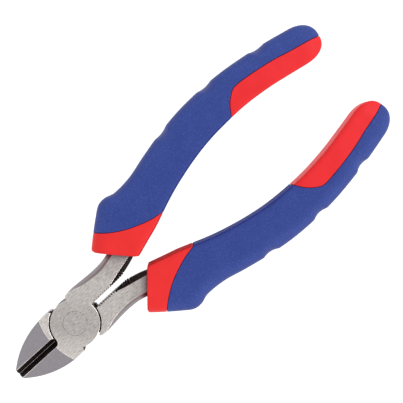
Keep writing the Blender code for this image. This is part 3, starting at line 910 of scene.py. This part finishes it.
def red_plastic(name, low, high, wall_shade, dulled):
    """Hard semi-gloss plastic with a barely uneven moulded surface."""
    m = Maker(name)
    tone = m.noise((140, 140, 140), 2.0, 0.5)
    ripple = m.noise((700, 700, 700), 2.0, 0.5)
    base = m.ramp(tone, low, high, 0.3, 0.7)
    # painted shade on the inner wall
    m.link(m.mix(1.0, base, across_wall(m, wall_shade), "MULTIPLY"), m.shader.inputs["Base Color"])
    rough = m.remap(ripple, 0.42, 0.5)
    if dulled:
        rough = m.mix(1.0, rough, across_wall(m, WALL_DULLING), "ADD")
    m.link(rough, m.shader.inputs["Roughness"])
    m.link(m.bump(ripple, 0.10, 0.00005), m.shader.inputs["Normal"])
    m.shader.inputs["Specular IOR Level"].default_value = 0.1
    return m.material


def floor_material():
    """Plain pale paper that lights itself up to white."""
    m = Maker("pale_floor")
    tone = m.noise((6, 6, 6), 2.0, 0.5)
    m.link(m.ramp(tone, (0.24, 0.24, 0.24), (0.26, 0.26, 0.26)), m.shader.inputs["Base Color"])
    m.shader.inputs["Roughness"].default_value = 0.9
    m.shader.inputs["Specular IOR Level"].default_value = 0.0
    m.shader.inputs["Emission Color"].default_value = (1, 1, 1, 1)
    m.shader.inputs["Emission Strength"].default_value = 1.0
    return m.material


# ---- putting it together --------------------------------------------------------------------------------
# Each half's word in the names, its body, and whether its pieces are turned half a turn.
HALVES = (("front", "front_half", False), ("back", "back_half", True))


def put(name, mesh, materials, body, node, slot, turned):
    """A piece on its body, standing for a CAD node."""
    while len(mesh.materials) < len(materials):
        mesh.materials.append(None)
    for k, material in enumerate(materials):
        mesh.materials[k] = material
    piece = bpy.data.objects.new(name, mesh)
    bpy.context.scene.collection.objects.link(piece)
    piece.location = (0, 0, MIDDLE_Z)
    piece.rotation_euler = (0, math.pi if turned else 0, 0)
    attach(piece, body)
    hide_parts(node)
    return piece


def build_pliers():
    """Every piece of both halves, each with its body and node."""
    # The land and the rivet carry painted shade by the grip's mouth and painted light on the neck and jaws.
    steel = brushed_steel("satin_ground_steel", (0.325, 0.303, 0.287), (0.74, 0.695, 0.663), 0.36,
                          tint=STEEL_SHADE_AND_LIGHT)
    # The facets, the jaw sides and the nose: a finer grind, with a darker tone that paints their shade.
    ground = brushed_steel("fine_ground_steel_painted_shade", (0.31, 0.292, 0.312), (0.395, 0.369, 0.395), 0.34,
                           (2600, 1300, 2600), 0.15)
    bevel = brushed_steel("forged_bevel_steel", (0.20, 0.183, 0.193), (0.27, 0.245, 0.26), 0.34,
                          (1800, 1200, 1800), 0.25)
    # The upper outer bevel: darker steel, with painted shade and a painted red reflection of the collar by
    # the grip's mouth.
    brown = brushed_steel("bevel_steel_painted_shade_red_reflection", (0.14, 0.12, 0.125), (0.20, 0.17, 0.175), 0.34,
                          (1800, 1200, 1800), 0.25, BEVEL_SHADE_AND_RED_REFLECTION)
    # Forging scale on the inner bevels, and painted shade in the gaps of the joint, the slot and the roots of
    # the teeth.
    dark = dark_steel("forging_scale_and_painted_shade", (0.006, 0.005, 0.006), (0.10, 0.052, 0.05), (1500, 900, 1500))
    # Painted shade inside the V between the jaws.
    groove = dark_steel("groove_painted_shade_steel", (0.008, 0.006, 0.007), (0.12, 0.08, 0.075), (3000, 320, 3000))
    metals = [steel, ground, bevel, dark, groove, brown]
    collar_red = red_plastic("red_collar_plastic", (0.682, 0.0250, 0.0250), (0.730, 0.0280, 0.0290),
                             COLLAR_WALL_SHADE, True)
    panel_red = red_plastic("red_panel_plastic", (0.666, 0.0220, 0.0255), (0.714, 0.0250, 0.0295),
                            PANEL_WALL_SHADE, False)
    blue, seam_shade = blue_rubber(), seam_shade_layer()

    levers = [lever_mesh("lever_plain", False), lever_mesh("lever_webbed", True)]
    for mesh, (word, body, turned) in zip(levers, HALVES):
        finish_metal(mesh)
        put(f"{word}_lever_forging", mesh, metals, body, f"lever_{word}", "satin_steel", turned)
    put("flush_rivet", rivet_mesh(), [steel], "front_half", "pivot_rivet", "rivet_steel", False)

    rows, collar, panel, over, core = grip_meshes()
    parts = {
        "collar": (collar_mesh(rows, collar), collar_red, "grip_core", "red_hard_plastic"),
        "thumb_panel": (solid_shell(panel[:4]), panel_red, "grip_core", "red_hard_plastic"),
        # The core, painted dark navy for the shade in the seams.
        "core_painted_seam_shade": (core, seam_shade, "grip_core", "red_hard_plastic"),
        "soft_overmould": (solid_shell(over[:4]), blue, "grip_overmould", "blue_soft_rubber"),
    }
    for label, ((points, faces), material, node, slot) in parts.items():
        mesh = mesh_of(label, points, faces)
        mesh.shade_smooth()
        mesh.set_sharp_from_angle(angle=GRIP_CREASE)
        for word, body, turned in HALVES:
            put(f"{word}_{label}", mesh, [material], body, f"{node}_{word}", slot, turned)
    for piece in made:
        bpy.data.objects.remove(piece)


# ---- floor, light and camera ----------------------------------------------------------------------------
# Lengths not multiplied by MM are in metres here, apart from the sensor's, in millimetres. A light is its
# name, place, width and power.
FLOOR_REACH = 1.6
FLOOR_GAP = 0.0002
TENT_SIDES = (1.0, 1.0, 1.0, 1)
TENT_ROOF = (0.66, 0.66, 0.665, 1)
TENT_SPAN = (0.3, 0.92)
TENT_STRENGTH = 1.15
LIGHT_AIM = Vector((0.0, -0.06, 0.0))
LIGHTS = [("key", (-0.13, -0.82, 0.98), 0.6, 5.4), ("side", (-0.9, -0.25, 0.34), 0.35, 1.9)]
SENSOR_WIDTH = 36
CLIP_START = 0.01
CAMERA_ROLL = math.radians(42.69)
CAMERA_TARGET = Vector((1.18, -61.15, 5.0)) * MM
CAMERA_OFFSET = Vector((20.0, -4.0, 410.0)) * MM
VIEW_WIDTH = 141.94 * MM


def add_floor():
    """A plain floor just under the object."""
    mesh = bpy.data.meshes.new("floor")
    level = cad_low.z - FLOOR_GAP
    corners = [(x * FLOOR_REACH, y * FLOOR_REACH, level) for x, y in ((-1, -1), (1, -1), (1, 1), (-1, 1))]
    mesh.from_pydata(corners, [], [(0, 1, 2, 3)])
    floor = bpy.data.objects.new("floor", mesh)
    bpy.context.scene.collection.objects.link(floor)
    mesh.materials.append(floor_material())


def add_world():
    """A white tent whose roof, round the camera, is less bright than its sides."""
    world = bpy.data.worlds.new("tent")
    bpy.context.scene.world = world
    world.use_nodes = True
    tree = world.node_tree
    coordinate = tree.nodes.new("ShaderNodeTexCoord")
    split = tree.nodes.new("ShaderNodeSeparateXYZ")
    ramp = tree.nodes.new("ShaderNodeValToRGB")
    for element, position, colour in zip(ramp.color_ramp.elements, TENT_SPAN, (TENT_SIDES, TENT_ROOF)):
        element.position = position
        element.color = colour
    tree.links.new(coordinate.outputs["Generated"], split.inputs[0])
    tree.links.new(split.outputs["Z"], ramp.inputs["Fac"])
    background = tree.nodes["Background"]
    tree.links.new(ramp.outputs["Color"], background.inputs["Color"])
    background.inputs["Strength"].default_value = TENT_STRENGTH


def add_light(name, place, size, energy):
    """A soft round light aimed at the middle of the tool."""
    light = bpy.data.lights.new(name, "AREA")
    light.shape = "DISK"
    light.size = size
    light.energy = energy
    lamp = bpy.data.objects.new(name, light)
    bpy.context.scene.collection.objects.link(lamp)
    lamp.location = place
    lamp.rotation_mode = "QUATERNION"
    lamp.rotation_quaternion = (LIGHT_AIM - Vector(place)).to_track_quat("-Z", "Y")


def add_camera():
    """The camera nearly straight above the tool, rolled so that the tool lies across the view."""
    right = Vector((-math.sin(CAMERA_ROLL), -math.cos(CAMERA_ROLL), 0))
    back = CAMERA_OFFSET.normalized()
    up = back.cross(right).normalized()
    right = up.cross(back).normalized()
    matrix = Matrix((right, up, back)).transposed().to_4x4()
    matrix.translation = CAMERA_TARGET + CAMERA_OFFSET
    data = bpy.data.cameras.new("camera")
    camera = bpy.data.objects.new("camera", data)
    bpy.context.scene.collection.objects.link(camera)
    camera.matrix_world = matrix
    data.sensor_width = SENSOR_WIDTH
    data.lens = SENSOR_WIDTH * CAMERA_OFFSET.length / VIEW_WIDTH
    data.clip_start = CLIP_START
    bpy.context.scene.camera = camera


add_camera()
build_pliers()
add_floor()
add_world()
for light in LIGHTS:
    add_light(*light)
bpy.context.scene.view_settings.view_transform = "Standard"
